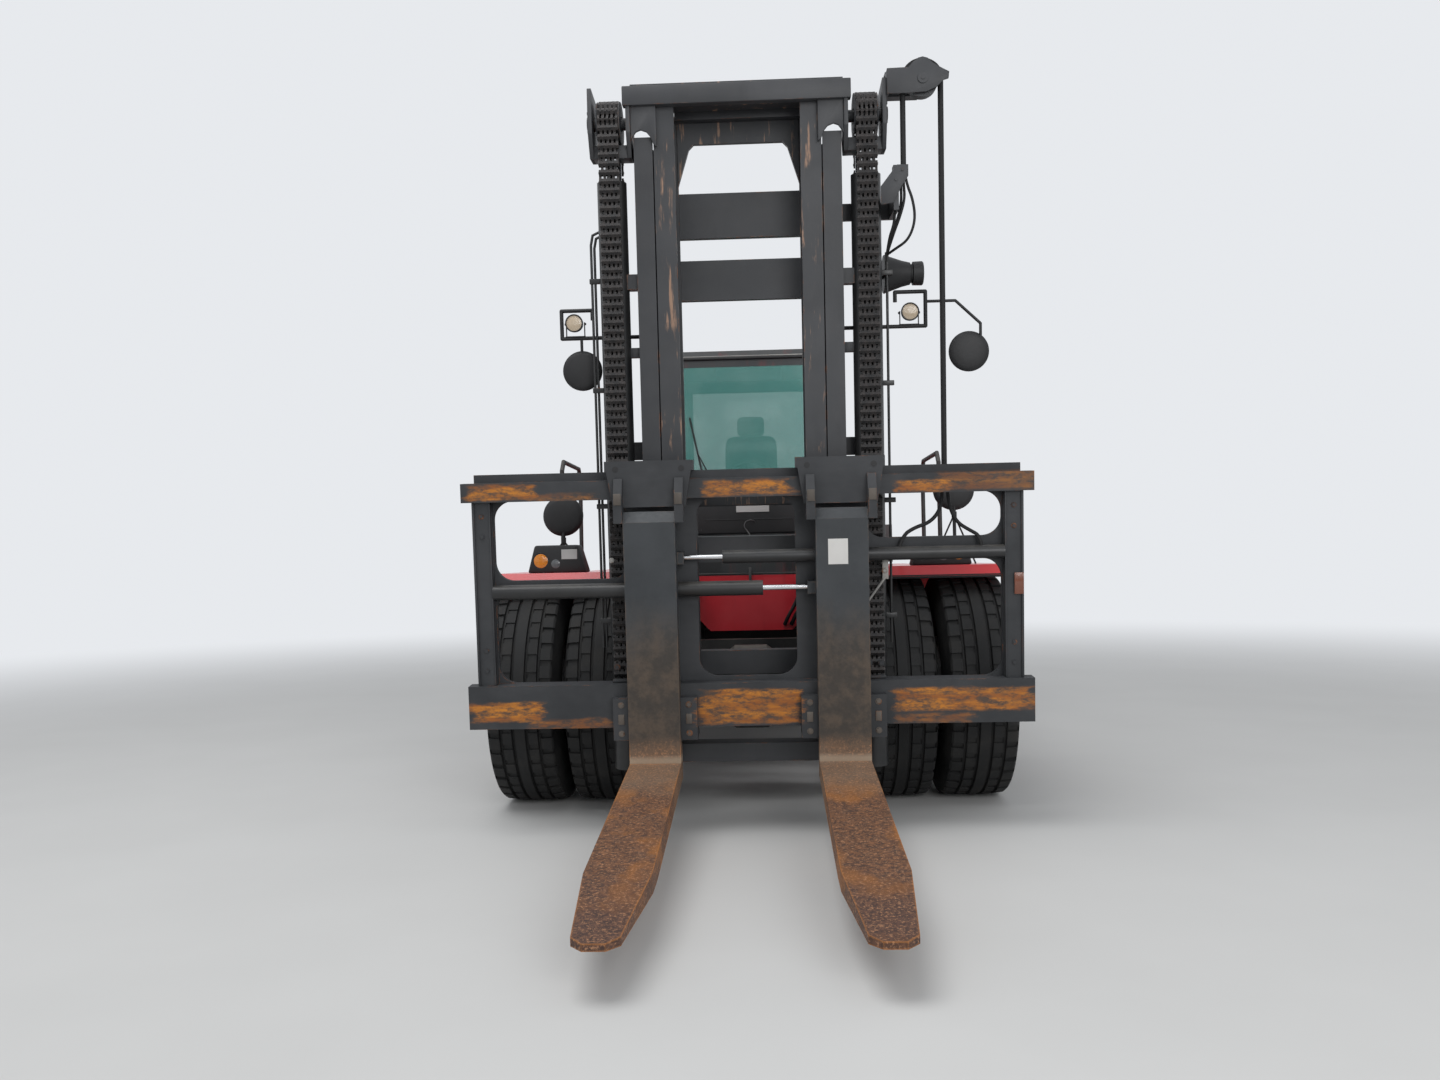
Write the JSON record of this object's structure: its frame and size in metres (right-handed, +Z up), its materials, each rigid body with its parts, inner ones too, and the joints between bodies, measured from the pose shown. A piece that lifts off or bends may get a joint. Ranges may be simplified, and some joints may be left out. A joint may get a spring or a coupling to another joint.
{
  "type": "forklift truck",
  "caption": "Heavy counterbalanced forklift truck with a high cab, a two-stage mast leaned forward, long side-shifting forks, twin drive wheels and steered rear wheels.",
  "frame": {"origin": "on the floor, at the centre of the bounding box's base", "axes": "+Z up; -Y the way the forks point; +Y towards the counterweight; +X to the right of a viewer who faces the forks"},
  "size_m": [3.43, 9.285, 4.4872],
  "materials": {
    "mast_paint": "worn dark paint over steel, rusty and bare at the edges",
    "carriage_paint": "worn dark paint, rubbed to steel and rust",
    "fork_steel": "forged steel, scaled, pitted and rusty towards the blades",
    "body_red": "glossy red paint with some dust",
    "chassis_black": "satin black paint",
    "counterweight_grey": "dark grey paint over cast iron",
    "tyre_rubber": "dusty black rubber",
    "rim_paint": "grey painted steel rim",
    "chrome": "polished hydraulic rod",
    "chain_steel": "greasy leaf chain, brown with rust",
    "hose_rubber": "black hydraulic hose",
    "cylinder_paint": "black paint, worn",
    "glass": "slightly teal tinted glass",
    "lamp_lens": "clear and beige lamp lens",
    "black_plastic": "grained black plastic",
    "seat_fabric": "black and grey seat cloth",
    "exhaust_steel": "heat-stained steel",
    "engine_paint": "dark engine paint",
    "mirror": "mirror glass in a black case"
  },
  "bodies": {
    "chassis": {"chassis_frame": "chassis_black", "drive_axle": "chassis_black", "steer_axle": "chassis_black", "steering_cylinder": "cylinder_paint", "counterweight": "counterweight_grey", "engine_block": "engine_paint", "engine_housing": "counterweight_grey", "radiator_grille": "chassis_black", "deck": "body_red", "side_tanks": "chassis_black", "cab_frame": "body_red", "cab_glass": "glass", "operator_seat": "seat_fabric", "dashboard": "black_plastic", "front_cowl": "body_red", "road_lamps": "lamp_lens", "handrails": "chassis_black", "exhaust": "exhaust_steel", "fender_mirrors": "mirror"},
    "drive_wheel_left": {"drive_tyres_left": "tyre_rubber", "drive_rim_left": "rim_paint"},
    "drive_wheel_right": {"drive_tyres_right": "tyre_rubber", "drive_rim_right": "rim_paint"},
    "steering_knuckle_left": {"knuckle_left": "chassis_black"},
    "steering_knuckle_right": {"knuckle_right": "chassis_black"},
    "steer_wheel_left": {"steer_tyre_left": "tyre_rubber", "steer_rim_left": "rim_paint"},
    "steer_wheel_right": {"steer_tyre_right": "tyre_rubber", "steer_rim_right": "rim_paint"},
    "steering_link": {"steering_rod": "chrome"},
    "door_left": {"cab_door_left": "body_red", "door_glass_left": "glass"},
    "door_right": {"cab_door_right": "body_red", "door_glass_right": "glass"},
    "lid": {"engine_lid": "body_red"},
    "mast_outer": {"outer_mast": "mast_paint", "lift_barrels": "cylinder_paint", "mast_fittings": "black_plastic", "chains_rear": "chain_steel", "hoses_inner": "hose_rubber"},
    "mast_inner": {"inner_mast": "mast_paint", "lift_rods": "chrome", "chain_pulleys": "mast_paint", "hose_arm": "mast_paint", "hose_crown": "hose_rubber", "chains_front": "chain_steel", "hoses_outer": "hose_rubber"},
    "fork_carriage": {"carriage": "carriage_paint", "position_barrels": "cylinder_paint"},
    "fork_arm_left": {"fork_left": "fork_steel", "fork_hanger_left": "carriage_paint", "position_rod_left": "chrome"},
    "fork_arm_right": {"fork_right": "fork_steel", "fork_hanger_right": "carriage_paint", "position_rod_right": "chrome"},
    "tilt_cylinder_left": {"tilt_barrel_left": "cylinder_paint"},
    "tilt_cylinder_right": {"tilt_barrel_right": "cylinder_paint"},
    "tilt_ram_left": {"tilt_rod_left": "chrome"},
    "tilt_ram_right": {"tilt_rod_right": "chrome"}
  },
  "joints": [
    {"name": "drive_wheel_left_spin", "type": "hinge", "parent": "chassis", "child": "drive_wheel_left", "pos_m": [-1.21, -1.0075, 0.7465], "axis": [1, 0, 0], "continuous": true},
    {"name": "steering_left", "type": "hinge", "parent": "chassis", "child": "steering_knuckle_left", "pos_m": [-0.93, 3.4925, 0.7465], "axis": [0, 0, 1], "range_deg": [-55, 55]},
    {"name": "steer_wheel_left_spin", "type": "hinge", "parent": "steering_knuckle_left", "child": "steer_wheel_left", "pos_m": [-1.2, 3.4925, 0.7465], "axis": [1, 0, 0], "continuous": true},
    {"name": "cab_door_left_hinge", "type": "hinge", "parent": "chassis", "child": "door_left", "pos_m": [-0.815, 2.3445, 2.54], "axis": [0, 0, -1], "range_deg": [0, 95]},
    {"name": "tilt_cylinder_left_swing", "type": "hinge", "parent": "chassis", "child": "tilt_cylinder_left", "pos_m": [-0.55, 0.1425, 1.2], "axis": [-1, 0, 0], "range_deg": [-0.2, 3.6]},
    {"name": "tilt_ram_left_slide", "type": "slide", "parent": "tilt_cylinder_left", "child": "tilt_ram_left", "axis": [0, -0.984, 0.1781], "range_m": [-0.252, 0.002]},
    {"name": "drive_wheel_right_spin", "type": "hinge", "parent": "chassis", "child": "drive_wheel_right", "pos_m": [1.21, -1.0075, 0.7465], "axis": [1, 0, 0], "continuous": true},
    {"name": "steering_right", "type": "hinge", "parent": "chassis", "child": "steering_knuckle_right", "pos_m": [0.93, 3.4925, 0.7465], "axis": [0, 0, 1], "range_deg": [-55, 55]},
    {"name": "steer_wheel_right_spin", "type": "hinge", "parent": "steering_knuckle_right", "child": "steer_wheel_right", "pos_m": [1.2, 3.4925, 0.7465], "axis": [1, 0, 0], "continuous": true},
    {"name": "cab_door_right_hinge", "type": "hinge", "parent": "chassis", "child": "door_right", "pos_m": [0.815, 2.3445, 2.54], "axis": [0, 0, 1], "range_deg": [0, 95]},
    {"name": "tilt_cylinder_right_swing", "type": "hinge", "parent": "chassis", "child": "tilt_cylinder_right", "pos_m": [0.55, 0.1425, 1.2], "axis": [-1, 0, 0], "range_deg": [-0.2, 3.6]},
    {"name": "tilt_ram_right_slide", "type": "slide", "parent": "tilt_cylinder_right", "child": "tilt_ram_right", "axis": [0, -0.984, 0.1781], "range_m": [-0.252, 0.002]},
    {"name": "steering_link_slide", "type": "slide", "parent": "chassis", "child": "steering_link", "axis": [1, 0, 0], "range_m": [-0.126, 0.126]},
    {"name": "mast_tilt", "type": "hinge", "parent": "chassis", "child": "mast_outer", "pos_m": [0, -1.3575, 0.55], "axis": [-1, 0, 0], "range_deg": [0, 15]},
    {"name": "mast_lift", "type": "slide", "parent": "mast_outer", "child": "mast_inner", "axis": [0, -0.0872, 0.9962], "range_m": [-0.09, 1.8], "deforming": ["chains_rear", "hoses_inner"]},
    {"name": "carriage_lift", "type": "slide", "parent": "mast_inner", "child": "fork_carriage", "axis": [0, -0.0872, 0.9962], "range_m": [-0.09, 1.8], "deforming": ["chains_front", "hoses_outer"]},
    {"name": "fork_shift_left", "type": "slide", "parent": "fork_carriage", "child": "fork_arm_left", "axis": [-1, 0, 0], "range_m": [-0.14, 0.7]},
    {"name": "fork_shift_right", "type": "slide", "parent": "fork_carriage", "child": "fork_arm_right", "axis": [1, 0, 0], "range_m": [-0.14, 0.7]},
    {"name": "engine_lid_hinge", "type": "hinge", "parent": "chassis", "child": "lid", "pos_m": [0, 4.0245, 2.405], "axis": [-1, 0, 0], "range_deg": [0, 55]}
  ],
  "couplings": [
    {"joint": "carriage_lift", "follows": "mast_lift", "ratio": 1},
    {"joint": "steering_right", "follows": "steering_left", "ratio": 1},
    {"joint": "steering_link_slide", "follows": "steering_left", "m_per_rad": -0.128},
    {"joint": "tilt_cylinder_left_swing", "follows": "mast_tilt", "ratio": 0.22188},
    {"joint": "tilt_ram_left_slide", "follows": "mast_tilt", "m_per_rad": -0.94816},
    {"joint": "tilt_cylinder_right_swing", "follows": "mast_tilt", "ratio": 0.22188},
    {"joint": "tilt_ram_right_slide", "follows": "mast_tilt", "m_per_rad": -0.94816}
  ]
}
